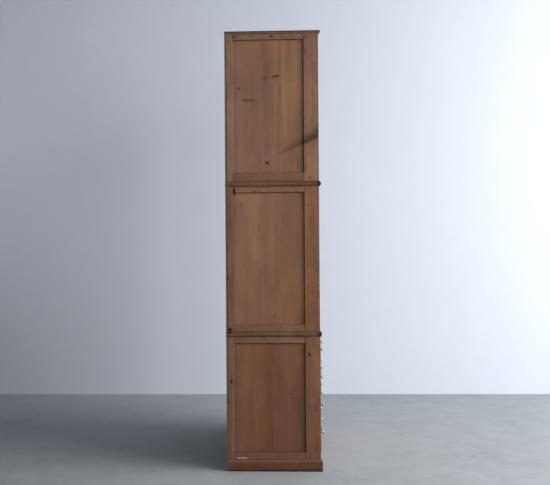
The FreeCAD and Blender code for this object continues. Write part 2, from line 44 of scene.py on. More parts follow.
# Marks on the side that faces -X: y, z, half width and half height in mm, tilt in degrees, depth.
UPPER_MARKS = (
    (-4, 1638, 18, 6.5, -8, 0.74),
    (-15, 1640.5, 12, 7, -10, 0.9),
    (35, 1633, 4.5, 8, 0, 0.68),
    (144, 1591, 7.5, 6.5, 0, 0.9),
    (28, 1279, 9.5, 8, 20, 0.93),
    (117, 1540, 17, 6, 0, 0.74),
    (92, 1540, 17, 6.5, 0, 0.72),
    (6, 1806, 9, 6.5, 0, 0.92),
    (-32, 1806, 10, 4.5, 0, 0.45),
    (89, 1807, 11, 4.5, 0, 0.4),
    (162, 1804, 16, 5, 0, 0.75),
    (-138, 1803, 3.5, 7, 0, 0.8),
    (-134, 1737, 5, 8, 0, 0.6),
    (-148, 1216, 3.5, 8, 0, 0.8),
    (-78, 1622, 10, 9, 0, 0.2),
)
MIDDLE_MARKS = (
    (138, 1109, 6.5, 6.5, 0, 0.62),
    (63, 1004, 5.5, 9, 0, 0.5),
    (-28, 956, 5, 6, 0, 0.38),
    (1, 643, 8, 7, 0, 0.5),
    (3, 746, 5, 7, 0, 0.2),
    (0, 613, 8, 6, 0, 0.25),
    (195, 803, 6, 10, 0, 0.95),
    (-158, 739, 5, 8, 0, 0.5),
    (83, 1162, 10, 4, 0, 0.65),
    (166, 1160, 7, 20, 0, 1.0),
    (-136, 928, 3, 26, 0, 0.4),
    (-165, 994, 5, 7, 0, 0.35),
)
LOWER_MARKS = (
    (182, 371, 5.5, 12, 0, 1.0),
    (-142, 482, 7.5, 10.5, 0, 0.93),
    (-168, 274, 8, 10, 0, 0.35),
    (-79, 343, 7, 6, 0, 0.35),
    (-65, 318, 11, 5, 0, 0.3),
)
LOWER_SCRAPES = ((140, 53, 22, 4, 0, 0.8),)
MIDDLE_CHIPS = ((191, 577, 16, 12, 0, 1.0), (184, 585, 4, 12, -30, 0.94))
NOSING_CHIPS = ((190, 577, 15, 7, 0, 0.92),)
# Hand marks round the finger pulls of the doors: x, z and half sizes in mm, tilt.
GRIPS = tuple((x, z, 42, 95, 0) for x in (-406, 406) for z in (877, 1508))

# Where the side's stiles meet its rails, and where the two boards of the lower panel meet: y in mm.
FRONT_JOINT = -125
BACK_JOINT = 168
PANEL_SEAM = 14.3
# The walls of the recess round a panel lie within this much beyond the joints, in mm.
RECESS_MARGIN = 3
# Sizes in metres: from the middle to a side's outer face, the lip of a panel in its grooves, how far a
# strip turns round the front corner, and thicknesses with a little to spare.
HALF_WIDTH = 0.45
PANEL_LIP = 9 * MM
STRIP_RETURN = 32.1 * MM
NOSING_THICK = 8.1 * MM
PLINTH_THICK = 20.1 * MM
DRAWER_FRONT_THICK = 0.0181
DRAWER_SIDE_THICK = 0.0091
DRAWER_BACK_THICK = 0.0095
# A height that parts each tier's top rail from its bottom rail.
TIER_MIDDLES = {"upper": 1.5, "middle": 0.9, "lower": 0.3}

# Mean tones of the boards, as linear colours.
SIDE_TONES = {
    "upper": {
        "panel": (0.227, 0.115, 0.069),
        "front": (0.212, 0.107, 0.0675),
        "back": (0.229, 0.129, 0.084),
        "rail": (0.211, 0.113, 0.068),
        "foot": (0.183, 0.0875, 0.044),
    },
    "middle": {
        "panel": (0.222, 0.108, 0.0625),
        "front": (0.181, 0.0845, 0.0435),
        "back": (0.163, 0.083, 0.0505),
        "rail": (0.188, 0.0985, 0.0605),
        "foot": (0.168, 0.080, 0.046),
    },
    "lower": {
        "panel": (0.160, 0.072, 0.0372),
        "front": (0.172, 0.079, 0.0402),
        "back": (0.180, 0.0905, 0.0555),
        "rail": (0.189, 0.0965, 0.063),
        "foot": (0.138, 0.064, 0.0445),
    },
}
# How the tone of a board changes from its middle to its front edge and to its foot, as shares.
LEVEL = (0, 0, 0)
SIDE_DRIFTS = {
    "upper": {
        "panel": ((0.05, 0.055, -0.07), LEVEL),
        "front": (LEVEL, (0.1, 0.12, 0.07)),
    },
    "middle": {
        "panel": ((-0.08, -0.125, -0.17), (-0.06, -0.09, -0.1)),
        "front": (LEVEL, (-0.04, -0.09, -0.17)),
    },
    "lower": {
        "panel": ((-0.08, -0.14, -0.23), (-0.06, -0.075, -0.045)),
        "front": (LEVEL, (-0.03, -0.04, -0.06)),
        "back": (LEVEL, (-0.14, -0.2, -0.14)),
    },
}
# The lower panel has a darker board at the front.
LOWER_FRONT_BOARD = (0.144, 0.062, 0.0342)
LOWER_FRONT_DRIFT = ((0.18, 0.19, 0.09), (-0.1, -0.105, -0.08))
FRONT = (0.185, 0.09, 0.052)
INSIDE = (0.36, 0.23, 0.14)
BACK = (0.24, 0.15, 0.095)
NOSING = (0.141, 0.067, 0.038)
PLINTH = (0.101, 0.0415, 0.0205)
CROWN = (0.19, 0.098, 0.058)

# What lies on the wood, shows through it or stands in for shade on it, as linear colours.
# Darker, greyer arrises of the sides and crown in place of pale wear: painted shade where their chamfers
# catch the light.
SIDE_ARRIS_SHADE = (0.12, 0.08, 0.062)
FRONT_WORN = (0.30, 0.19, 0.125)
DRAWER_WORN = (0.4, 0.29, 0.2)
# Painted shade in recesses, crevices and at the plinth's foot, with some soiling, as one colour.
PAINTED_SHADE_AND_GRIME = (0.045, 0.019, 0.011, 1)
BLOTCH = (0.07, 0.032, 0.018, 1)
HANDLED = (0.055, 0.031, 0.021, 1)
SPECK = (0.03, 0.018, 0.012, 1)
KNOT_RIM = (0.07, 0.022, 0.008, 1)
KNOT_CORE = (0.018, 0.007, 0.004, 1)
SCRAPED = (0.44, 0.33, 0.23, 1)
CHIPPED = (0.007, 0.005, 0.004, 1)
SOOT = (0.03, 0.019, 0.012, 1)
DARK_END = (0.012, 0.009, 0.007, 1)
# Tints by height: none of it at the first height, all at the second, the colour, its greatest share.
CROWN_TINTS = ((1.819, 1.8215, (0.046, 0.037, 0.033), 0.9),)
# On the plinth: a painted highlight along its rounded top and a painted contact shadow at its foot.
PLINTH_HIGHLIGHT_AND_SHADE = (
    (0.036, 0.0445, (0.21, 0.122, 0.088), 0.45),
    (0.012, 0.003, (0.012, 0.008, 0.006), 0.9),
)
# How far painted shade and soiling reach in from the edges of panels, strips, plinth and back: painted shade
# with some soiling in the panels' recesses, painted shade in the nosing's crevices and at the plinth's foot,
# the back boards' edges darkened; and which edges have it set further off, by so many mm.
PANEL_SHADE_AND_DIRT = NOSING_CREVICE_SHADE = 0.75
PLINTH_FOOT_SHADE = 0.7
BACK_DIRT = 0.6
PANEL_SHADE_OFF_LOW = (0, 5, 4.5)
PANEL_SHADE_OFF_HIGH = {"upper": (0, 4, 0), "middle": (0, 2, 0), "lower": (0, 0, 0)}
PLINTH_SHADE_OFF_LOW = (30, 30, 0)
PLINTH_SHADE_OFF_HIGH = (30, 30, 30)
# Where wear and darkening begin and where they are full, in metres: the wear by its distance to an arris, the
# painted shade on a side's front arris by x and y, the nosing's dark ends by y and the seam's upper part by
# height.
WEAR = (0.004, 0.0006)
FRONT_ARRIS_X = (0.4462, 0.4482)
FRONT_ARRIS_Y = (-0.1832, -0.1856)
DARK_END_Y = (-0.146, -0.17)
SEAM_TOP = (0.4, 0.52)
# Half sizes of the oval that fingers darken round a knob.
KNOB_OVAL = (0.036, 0.03)

# Growth rings are this wide, and cells that may hold a knot come this often to the metre.
RING_WIDTH = 0.0046
KNOTS_ACROSS = 5.0
KNOTS_ALONG = 2.2
# A knot's half size across the grain, least and how much more, and how many times that it is along it.
KNOT_LEAST = 0.0035
KNOT_MORE = 0.005
KNOT_LONG = 1.5
# A knot bends the rings as far as this squared distance, in its own half sizes.
KNOT_BEND = 14.0
# How a board lies in its log: how far the pith may lie across from its middle, as a share of the width,
# and how far that is moved aside, how far behind it lies, and the shift along the log. The last one is
# how far the tone may vary.
PITH_SHARE = 0.7
PITH_ASIDE = 0.02
PITH_BEHIND = (0.025, 0.11)
LOG_SHIFT = 40
TONE_LUCK = (0.96, 1.04)


class Value:
    """One socket of a material's nodes. Arithmetic on it adds Math nodes, and make() adds any other node."""

    def __init__(self, tree, socket):
        self.tree = tree
        self.socket = socket

    def make(self, kind, settings=None, sockets=None, out=0):
        """A node of a kind: its settings first, then each socket's value or link. Gives the chosen output."""
        node = self.tree.nodes.new(kind)
        for name, setting in (settings or {}).items():
            setattr(node, name, setting)
        for name, given in (sockets or {}).items():
            if isinstance(given, Value):
                self.tree.links.new(given.socket, node.inputs[name])
            else:
                node.inputs[name].default_value = given
        return Value(self.tree, node.outputs[out])

    def math(self, operation, *others):
        values = (self, *others)
        return self.make("ShaderNodeMath", {"operation": operation}, dict(enumerate(values)))

    def __add__(self, other):
        return self.math("ADD", other)

    __radd__ = __add__

    def __mul__(self, other):
        return self.math("MULTIPLY", other)

    __rmul__ = __mul__

    def __sub__(self, other):
        return self.math("SUBTRACT", other)

    def __rsub__(self, other):
        return self.math("MULTIPLY_ADD", -1.0, other)

    def __truediv__(self, other):
        return self.math("DIVIDE", other)

    def __pow__(self, other):
        return self.math("POWER", other)

    def __abs__(self):
        return self.math("ABSOLUTE")

    def least(self, other):
        return self.math("MINIMUM", other)

    def most(self, other):
        return self.math("MAXIMUM", other)

    def step(self, start, end):
        """Goes smoothly from 0 at start to 1 at end; start may be the larger one."""
        low, high = (start, end) if start < end else (end, start)
        ends = (0.0, 1.0) if start < end else (1.0, 0.0)
        return self.make(
            "ShaderNodeMapRange",
            {"interpolation_type": "SMOOTHSTEP"},
            {"Value": self, "From Min": low, "From Max": high, "To Min": ends[0], "To Max": ends[1]},
        )

    def place(self):
        """The point's own place, by Object coordinates."""
        return self.make("ShaderNodeTexCoord", None, None, "Object")

    def attribute(self, name, out="Vector"):
        """What the mesh carries under a name."""
        return self.make("ShaderNodeAttribute", {"attribute_name": name}, None, out)

    def parts(self):
        """A vector's three numbers."""
        return [self.make("ShaderNodeSeparateXYZ", None, {0: self}, out) for out in range(3)]

    def vector(self, operation, other):
        return self.make("ShaderNodeVectorMath", {"operation": operation}, {0: self, 1: other})

    def noise(self, stretch, detail=2.0, rough=0.5):
        """Noise from 0 to 1 over this vector stretched by three numbers, so that it can follow the grain."""
        return self.make(
            "ShaderNodeTexNoise",
            {"noise_dimensions": "3D"},
            {"Vector": self.vector("MULTIPLY", stretch), "Scale": 1.0, "Detail": detail, "Roughness": rough},
        )

    def swing(self, stretch, detail=2.0, rough=0.5):
        """The same noise from -0.5 to 0.5."""
        return self.noise(stretch, detail, rough) - 0.5

    def relief(self, strength, distance):
        """A normal bumped by this as a height."""
        return self.make("ShaderNodeBump", None, {"Strength": strength, "Distance": distance, "Height": self})

    def mixed(self, other, share, how="MIX"):
        """This colour mixed with another by a share."""
        return self.make(
            "ShaderNodeMix",
            {"data_type": "RGBA", "blend_type": how},
            {0: share, 6: self, 7: other},
            out=2,
        )

    def between(self, one, other):
        """The first colour where this is 0, going over to the other where it is 1."""
        return self.make("ShaderNodeMix", {"data_type": "RGBA"}, {0: self, 6: one, 7: other}, out=2)


def new_material(name):
    """An empty material with its output node, and a first value to start expressions from."""
    material = bpy.data.materials.new(name)
    material.use_nodes = True
    tree = material.node_tree
    tree.nodes.clear()
    start = Value(tree, None)
    output = tree.nodes.new("ShaderNodeOutputMaterial")
    return material, start, output


def close_material(start, output, sockets):
    """Ends a material in one Principled shader with these sockets."""
    shader = start.make("ShaderNodeBsdfPrincipled", None, sockets)
    start.tree.links.new(shader.socket, output.inputs["Surface"])


def grey(value):
    """A number as a colour."""
    return value.make("ShaderNodeCombineColor", None, {0: value, 1: value, 2: value})


def spot_distance(u, v, spot):
    """How far a point is from a spot's middle, in the spot's own half sizes, squared: the offset is turned
    by the tilt and each of its parts divided by a half size."""
    middle_u, middle_v, wide, tall, tilt = spot
    turn = math.radians(tilt)
    du = u - middle_u * MM
    dv = v - middle_v * MM
    along = (du * math.cos(turn) + dv * math.sin(turn)) * (1 / (wide * MM))
    over = (dv * math.cos(turn) - du * math.sin(turn)) * (1 / (tall * MM))
    return along * along + over * over


def scattered_knots(across, along):
    """Knots strewn over every board: the squared distance to the nearest one in its own half sizes, and
    whether that cell of the board has one at all."""
    cells = across.make("ShaderNodeCombineXYZ", None, {0: across * KNOTS_ACROSS, 1: along * KNOTS_ALONG})
    sockets = {"Vector": cells, "Scale": 1.0, "Randomness": 0.9}
    settings = {"voronoi_dimensions": "2D", "feature": "F1"}
    centre = cells.make("ShaderNodeTexVoronoi", settings, sockets, "Position")
    chance = cells.make("ShaderNodeTexVoronoi", settings, sockets, "Color")
    off = cells.vector("SUBTRACT", centre).parts()
    has_one, largeness = [chance.make("ShaderNodeSeparateColor", None, {0: chance}, out) for out in range(2)]
    size = largeness * KNOT_MORE + KNOT_LEAST
    off_across = off[0] * (1 / KNOTS_ACROSS) / size
    off_along = off[1] * (1 / KNOTS_ALONG) / (size * KNOT_LONG)
    return off_across * off_across + off_along * off_along, has_one.step(0.52, 0.56)


def knots_of(across, along, y, z, marks, seen_side):
    """How much of a knot a point is, and how far the rings bend there. The seen side has its listed marks
    in place of strewn knots."""
    away, present = scattered_knots(across, along)
    if marks:
        present = present * (1 - seen_side)
    knot = away.step(1.25, 0.4) * present * 0.8
    bend = away.step(KNOT_BEND, 0.0) * present
    for *spot, depth in marks:
        away = spot_distance(y, z, spot)
        knot = knot.most(away.step(1.5, 0.2) * seen_side * depth)
        bend = bend + away.step(KNOT_BEND, 0.0) * seen_side * depth
    return knot, bend


def late_wood(grain, bend):
    """The dark part of each growth ring, from 0 to 1. The distance from the pith, made uneven by slow noise
    and by knots, is counted in rings; within a ring it rises to the end and drops back."""
    across, through, _ = grain.parts()
    wander = grain.swing((9.0, 9.0, 1.6), 1.0)
    drift = grain.swing((4.0, 4.0, 0.7), 0.0)
    across = across + wander * 0.012 + drift * 0.05
    through = through + drift * 0.04
    ring = (across * across + through * through) ** 0.5 * (1 / RING_WIDTH)
    ring = ring + grain.swing((60.0, 60.0, 3.0), 1.0) * 0.9 + bend * 2.6
    phase = ring.math("FRACT")
    return phase ** 2.4 * phase.step(1.0, 0.9)


def softwood(
    name, marks=(), scrapes=(), chips=(), seam=None, soot=False, grips=(), knobbed=False, arris_colour=FRONT_WORN,
    bareness=0.4, gloss=0.52, contrast=1.0, calm=0.0, tinted=(), dark_ends=False,
):
    """Stained softwood. Each board carries its own grain coordinates (across, through, along), so the
    growth rings are circles about its pith. The board's tone is made lighter or darker by the rings, by
    streaks, fibres and clouds, as much as contrast says and less on boards with darkened edges where calm
    is given; it goes from golden to reddish in patches. Then come painted shade with some soiling along
    edges, in recesses and crevices, a dark line along a seam, a paler strip of painted light beside the
    front stile, arrises changed to a colour by a bareness (paler wear; on the sides and crown a darker
    colour that is painted shade), tints by height (on the plinth a painted highlight and a painted contact
    shadow), dark ends, hand marks round grips or knobs, specks, knots, scrapes, chips and soot, each in
    its own colour."""
    material, start, output = new_material(name)
    grain = start.attribute("grain")
    tone = start.attribute("tone", "Color")
    shade_and_dirt = start.attribute("tone", "Alpha")
    low = start.attribute("from_low")
    high = start.attribute("from_high")
    place = start.place()
    x, y, z = place.parts()
    across, _, along = grain.parts()
    seen_side = x.step(-0.1, -0.2)
    # A board either has painted shade and soiling along its edges, as the panels do, or wears at its arrises.
    edges_darken = shade_and_dirt.step(0.0, 0.05)
    wears = 1 - edges_darken

    # The distance to the nearest arris: the middle one of the distances to the box's faces.
    near = low.vector("MINIMUM", high).parts()
    edge = near[0].least(near[1]).most(near[0].most(near[1]).least(near[2]))
    knot, bend = knots_of(across, along, y, z, marks, seen_side)
    late = late_wood(grain, bend)

    streak = grain.swing((46.0, 46.0, 0.9), 2.0, 0.6)
    vein = grain.swing((130.0, 130.0, 2.2), 2.0, 0.6)
    broad = grain.swing((13.0, 13.0, 0.8), 1.0)
    fibre = grain.swing((520.0, 520.0, 9.0), 2.0, 0.6)
    cloud = place.swing((7.0, 7.0, 4.0), 3.0, 0.6)
    mottle = place.swing((19.0, 19.0, 8.0), 2.0, 0.6)
    tan = place.swing((10.0, 10.0, 5.0), 2.0, 0.6)
    rub = place.noise((55.0, 55.0, 30.0), 2.0, 0.6)

    stripes = streak * 0.58 + vein * 0.44
    if calm:
        plainer = 1 - edges_darken * calm
        stripes = stripes * plainer
        late = late * plainer
    light = 1 + (stripes + broad * 0.48 + fibre * 0.32 + cloud * 0.8 + mottle * 0.4) * contrast
    light = light * (1.065 - late * 0.215)
    gold = broad * 0.18 + streak * 0.1 + grain.swing((8.0, 8.0, 3.6)) * 0.6 + tan * 0.9
    ruddy = grain.noise((15.0, 15.0, 5.2)) + grain.noise((75.0, 75.0, 7.0), 1.0) * 0.6 - 0.8
    red = light * (1 + gold * 0.12 + ruddy * 0.07)
    green = light * (1 + gold * 0.15 - ruddy * 0.15)
    blue = light * (1 - gold * 0.4 - ruddy * 0.2)
    shade = light.make("ShaderNodeCombineColor", None, {0: red, 1: green, 2: blue})
    colour = tone.mixed(shade, 1.0, "MULTIPLY")

    # Painted shade with some soiling, darkest at the edges: in the panels' recesses, the nosing's crevices
    # and at the plinth's foot; the back boards' edges darken too.
    shade_and_grime = (edge / (shade_and_dirt * 0.01 + 0.00001)).step(1.0, 0.0)
    if marks:
        # On the frames: painted shade on the recess walls and the front arris, and dark upright joints.
        shade_and_grime = shade_and_grime.most(frame_shade_and_dirt(x, y) * wears)
        blotch = place.noise((38.0, 38.0, 17.0), 3.0, 0.65).step(0.5, 0.68) * wears
        colour = colour.mixed(BLOTCH, blotch * 0.3)
        # Painted light: a paler strip beside the front stile, over its shadow.
        colour = colour.mixed(grey(painted_light_by_front_stile(y) * edges_darken * 0.4 + 1), 1.0, "MULTIPLY")
    if seam:
        shade_and_grime = shade_and_grime.most(seam_dirt(y, z, seam) * edges_darken)
    # Mixes in the painted shade and soiling, the frames' painted shade and the seam's dark line.
    colour = colour.mixed(PAINTED_SHADE_AND_GRIME, shade_and_grime * (0.42 + rub * 0.5))
    wear = edge.step(*WEAR) * wears * rub.step(0.38, 0.66) * (1 - shade_and_grime)
    colour = colour.mixed((*arris_colour, 1), wear * bareness)
    for none_at, all_at, tint, share in tinted:
        colour = colour.mixed((*tint, 1), z.step(none_at, all_at) * share)
    if dark_ends:
        colour = colour.mixed(DARK_END, (y + rub * 0.04).step(*DARK_END_Y) * 0.85)
    rough = gloss + fibre * 0.18 + rub * 0.12 - wear * 0.1 + shade_and_grime * 0.15
    if grips or knobbed:
        handled = grip_polish(x, z, grips) if grips else knob_polish(low, high)
        handled = handled * (rub * 0.7 + 0.4)
        colour = colour.mixed(HANDLED, handled * 0.6)
        rough = rough - handled * 0.16
    speck = place.noise((210.0, 210.0, 160.0), 1.0).step(0.71, 0.78)
    colour = colour.mixed(SPECK, speck * 0.3)
    colour = colour.mixed(KNOT_RIM, knot * 0.9)
    colour = colour.mixed(KNOT_CORE, knot.step(0.86, 1.0) * 0.88)
    for *spot, depth in scrapes:
        bare = spot_distance(y, z, spot).step(1.3, 0.5) * seen_side * rub.step(0.2, 0.5)
        colour = colour.mixed(SCRAPED, bare * depth)
    for *spot, depth in chips:
        gone = (spot_distance(y, z, spot) + rub * 0.8).step(1.8, 1.2) * seen_side
        colour = colour.mixed(CHIPPED, gone * depth)
    if soot:
        colour = colour.mixed(SOOT, soot_smear(x, y, z, place))

    height = late * 0.35 + fibre * 0.5 + cloud * 0.4 - knot * 0.5
    close_material(
        start,
        output,
        {
            "Base Color": colour,
            "Roughness": rough,
            "Normal": height.relief(0.22, 0.0012),
            "Specular IOR Level": 0.22,
        },
    )
    return material


def frame_shade_and_dirt(x, y):
    """Darkening on a side's frame: painted shade on the walls of the recess round the panel, more the deeper
    they go, and on the outer front arris, where its chamfer would catch the light; dark lines along the two
    upright joints between stiles and rails."""
    recess_front = (y - (FRONT_JOINT - RECESS_MARGIN) * MM).step(0.0, 0.0014)
    recess_back = (y - (BACK_JOINT + RECESS_MARGIN) * MM).step(0.0, -0.0014)
    # Painted shade on the walls of the recess.
    recess_shade = (HALF_WIDTH - abs(x)).step(0.0004, 0.0026) * (recess_front * recess_back)
    front = abs(y - FRONT_JOINT * MM).step(0.0022, 0.0005)
    back = abs(y - BACK_JOINT * MM).step(0.003, 0.0014)
    # Painted shade on the front arris, where its chamfer would catch the light.
    arris = abs(x).step(*FRONT_ARRIS_X) * y.step(*FRONT_ARRIS_Y)
    return recess_shade.most(front.most(back) * 0.75).most(arris) * 0.95


def seam_dirt(y, z, seam):
    """Dirt along the seam between two boards of a panel, more of it near the top."""
    return abs(y - seam * MM).step(0.0016, 0.0004) * (z.step(*SEAM_TOP) * 0.45 + 0.25)


def painted_light_by_front_stile(y):
    """Painted light: a paler strip on a panel beside the front stile, lifting the shadow that stile casts."""
    return (y - FRONT_JOINT * MM).step(0.013, 0.003)


def grip_polish(x, z, grips):
    """Darkened by hands round each finger pull: 1 at its middle, fading out over the half sizes."""
    first, *others = [spot_distance(x, z, grip).step(1.0, 0.12) for grip in grips]
    for polish in others:
        first = first.most(polish)
    return first


def knob_polish(low, high):
    """Darkened by fingers round the knob in the middle of a drawer front: the offsets from the middle are
    half the differences of the distances to opposite ends, here over an oval's half sizes."""
    off = low.vector("SUBTRACT", high).parts()
    across = off[0] * (0.5 / KNOB_OVAL[0])
    over = off[2] * (0.5 / KNOB_OVAL[1])
    return (across * across + over * over).step(1.0, 0.1)


def soot_smear(x, y, z, place):
    """A dark wedge rubbed over the side: a firm lower edge that rises towards the front, a soft upper edge,
    and more of it the nearer the front; brushed into fine strokes."""
    begins, length, foot, rise = 0.025, 0.211, 1.299, 0.079
    along = (begins - y) * (1 / length)
    over = z - (along.most(0.0) ** 1.15 * rise + foot)
    thick = along.step(-0.1, 0.72) * 0.045 + along.step(0.82, 1.0) * 0.03 + 0.002
    firm = over.step(-0.004, 0.006)
    soft = (over / thick).step(1.15, 0.25)
    strokes = place.noise((60.0, 200.0, 60.0), 2.0).step(0.25, 0.7) * 0.3 + 0.7
    reach = along.step(-0.05, 0.65) * 0.58 + along.step(0.6, 0.8) * 0.34
    return firm * soft * reach * strokes * x.step(-0.2, -0.3)


def old_glass():
    """Clear window glass with a slow ripple and a patchy film of dust."""
    material, start, output = new_material("old_glass")
    place = start.place()
    ripple = place.noise((9.0, 2.0, 5.0), 1.0)
    dust = place.noise((160.0, 40.0, 160.0), 3.0, 0.65).step(0.45, 0.9)
    close_material(
        start,
        output,
        {
            "Base Color": (0.93, 0.97, 0.95, 1),
            "Roughness": dust * 0.05 + 0.015,
            "Alpha": dust * 0.25 + 0.3,
            "IOR": 1.45,
            "Transmission Weight": 1.0,
            "Normal": ripple.relief(0.05, 0.01),
        },
    )
    return material


def dull_metal():
    """Turned pale metal gone dull, with darker tarnish in patches."""
    material, start, output = new_material("dull_metal")
    place = start.place()
    patina = place.noise((170.0, 170.0, 170.0), 3.0, 0.6)
    fine = place.noise((900.0, 900.0, 900.0), 1.0)
    tarnish = patina.step(0.34, 0.74)
    close_material(
        start,
        output,
        {
            "Base Color": tarnish.between((0.5, 0.488, 0.46, 1), (0.15, 0.132, 0.112, 1)),
            "Metallic": 1.0,
            "Roughness": tarnish * 0.22 + fine * 0.1 + 0.3,
            "Normal": (patina + fine * 0.4).relief(0.08, 0.0004),
        },
    )
    return material


def rusty_iron():
    """Nail heads, dark with rust in patches."""
    material, start, output = new_material("rusty_iron")
    rust = start.place().noise((420.0, 420.0, 420.0), 3.0, 0.6).step(0.38, 0.62)
    close_material(
        start,
        output,
        {
            "Base Color": rust.between((0.035, 0.03, 0.027, 1), (0.13, 0.052, 0.024, 1)),
            "Metallic": 0.6,
            "Roughness": rust * 0.3 + 0.5,
            "Normal": rust.relief(0.25, 0.0005),
        },
    )
    return material


def triangles(mesh):
    """Every triangle's three corner places, as one array."""
    co = np.empty(len(mesh.vertices) * 3, np.float32)
    mesh.vertices.foreach_get("co", co)
    corner = np.empty(len(mesh.loops), np.int32)
    mesh.loops.foreach_get("vertex_index", corner)
    return co.reshape(-1, 3)[corner].reshape(-1, 3, 3).astype(float)


def middles_and_box(places):
    """Each triangle's middle, and the lowest and highest corner of the box round them all."""
    corners = places.reshape(-1, 3)
    return places.mean(1), corners.min(0), corners.max(0)


def joined_boards(places):
    """Which board each triangle is of: corners at one place are one point, and all points of a triangle
    take the smallest label among them until nothing changes."""
    hundredths = np.round(places.reshape(-1, 3) * 1e5).astype(np.int64)
    _, point = np.unique(hundredths, axis=0, return_inverse=True)
    point = point.reshape(-1, 3)
    label = np.arange(point.max() + 1)
    while True:
        lower = label.copy()
        np.minimum.at(lower, point, label[point].min(1)[:, None])
        if (lower == label).all():
            return label[point[:, 0]]
        label = lower


def strips(thick, closed=False):
    """Tells the boards of a strip of some thickness apart: along the sides 1 and 2, the returns round the
    front corners 3 and 4, what lies between 0. A triangle is a side strip's where it is nearer to the side's
    outer plane than to the front's, which puts the border on the mitre. A closed frame has a back board
    too, 5."""

    def strip_boards(places):
        middle, lowest, highest = middles_and_box(places)
        from_side = highest[0] - np.abs(middle[:, 0])
        from_front = middle[:, 1] - lowest[1]
        left = middle[:, 0] < 0
        strip = (from_side < from_front) & (from_side < thick)
        turned = ~strip & (from_front < thick) & (from_side < STRIP_RETURN)
        label = np.where(closed & (highest[1] - middle[:, 1] < thick), 5, 0)
        label = np.where(turned, np.where(left, 3, 4), label)
        return np.where(strip, np.where(left, 1, 2), label)

    return strip_boards


def drawer_boards(places):
    """Front 0, sides 1 and 2, back 3, bottom 4, told apart by where a triangle's middle lies."""
    middle, lowest, highest = middles_and_box(places)
    near_low, near_high = middle - lowest, highest - middle
    label = np.where(near_high[:, 1] < DRAWER_BACK_THICK, 3, 4)
    label = np.where(near_low[:, 0] < DRAWER_SIDE_THICK, 1, label)
    label = np.where(near_high[:, 0] < DRAWER_SIDE_THICK, 2, label)
    return np.where(near_low[:, 1] < DRAWER_FRONT_THICK, 0, label)


def dress(
    node, number, tones, boards=joined_boards, lip=0.0, edge_shade_and_dirt=0.0, shade_off_low=(0, 0, 0), shade_off_high=(0, 0, 0)
):
    """Gives every board of a node its grain, and returns each triangle's board. The longest side of the
    board's box is along the grain, the next across, the last through; the pith is put somewhere behind the
    board, and the piece of log is shifted at random. from_low and from_high are the distances to the box's
    faces, less a lip that is hidden in grooves all round the panel. edge_shade_and_dirt says how far painted
    shade and soiling reach along the edges; without any they wear instead. shade_off_low and
    shade_off_high, in mm, set that darkening further off single edges."""
    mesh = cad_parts[node].data
    places = triangles(mesh)
    found = boards(places)
    corners = places.reshape(-1, 3)
    label = np.repeat(found, 3)
    grain = np.zeros_like(corners)
    low = np.zeros_like(corners)
    high = np.zeros_like(corners)
    tone = np.ones((len(corners), 4))
    for count, board in enumerate(np.unique(label)):
        mine = label == board
        lowest, highest = corners[mine].min(0), corners[mine].max(0)
        middle = (lowest + highest) / 2
        tint, forwards, downwards = tones(middle, board)
        luck = np.random.default_rng([number, count])
        through, across, along = np.argsort(highest - lowest, kind="stable")
        width = (highest - lowest)[across]
        pith = luck.uniform(-PITH_SHARE, PITH_SHARE) * width + np.sign(luck.uniform(-1, 1)) * PITH_ASIDE
        behind = luck.uniform(*PITH_BEHIND) * np.sign(luck.uniform(-1, 1))
        grain[mine, 0] = corners[mine, across] - middle[across] + pith
        grain[mine, 1] = corners[mine, through] - middle[through] + behind
        grain[mine, 2] = corners[mine, along] + luck.uniform(-LOG_SHIFT, LOG_SHIFT)
        inset = np.where(np.arange(3) == through, 0.0, lip)
        if lip:
            lowest[1], highest[1] = corners[:, 1].min(), corners[:, 1].max()
        low[mine] = corners[mine] - lowest - inset + np.array(shade_off_low) * MM
        high[mine] = highest - corners[mine] - inset + np.array(shade_off_high) * MM
        share = (corners[mine] - middle) / (highest - middle)
        drift = 1 - share[:, 1:2] * np.array(forwards) - share[:, 2:3] * np.array(downwards)
        tone[mine, :3] = np.array(tint) * drift * luck.uniform(*TONE_LUCK)
        tone[mine, 3] = edge_shade_and_dirt
    for name, kind, field, values in (
        ("grain", "FLOAT_VECTOR", "vector", grain),
        ("from_low", "FLOAT_VECTOR", "vector", low),
        ("from_high", "FLOAT_VECTOR", "vector", high),
        ("tone", "FLOAT_COLOR", "color", tone),
    ):
        layer = mesh.attributes.new(name, kind, "CORNER")
        layer.data.foreach_set(field, values.astype(np.float32).ravel())
    return found


def cover(node, *materials, which=None):
    """The materials of a node, and which of them each triangle has if there are several."""
    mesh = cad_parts[node].data
    mesh.materials.clear()
    for material in materials:
        mesh.materials.append(material)
    if which is not None:
        mesh.polygons.foreach_set("material_index", which.astype(np.int32))


def side_tone(tier, kind):
    """Stiles and the lower panel's boards by front or back, rails by top or foot: tone, and how it drifts."""

    def look(name):
        return (SIDE_TONES[tier][name], *SIDE_DRIFTS[tier].get(name, (LEVEL, LEVEL)))

    if kind == "stiles":
        return lambda middle, board: look("front" if middle[1] < 0 else "back")
    if kind == "side_rails":
        return lambda middle, board: look("rail" if middle[2] > TIER_MIDDLES[tier] else "foot")
    before = (LOWER_FRONT_BOARD, *LOWER_FRONT_DRIFT) if tier == "lower" else look("panel")
    return lambda middle, board: before if middle[1] < 0 else look("panel")


def plain(tint):
    """The same tone for every board."""
    return lambda middle, board: (tint, LEVEL, LEVEL)


def drawer_tone(middle, board):
    """A stained front, the rest unstained."""
    return (INSIDE if board else FRONT, LEVEL, LEVEL)


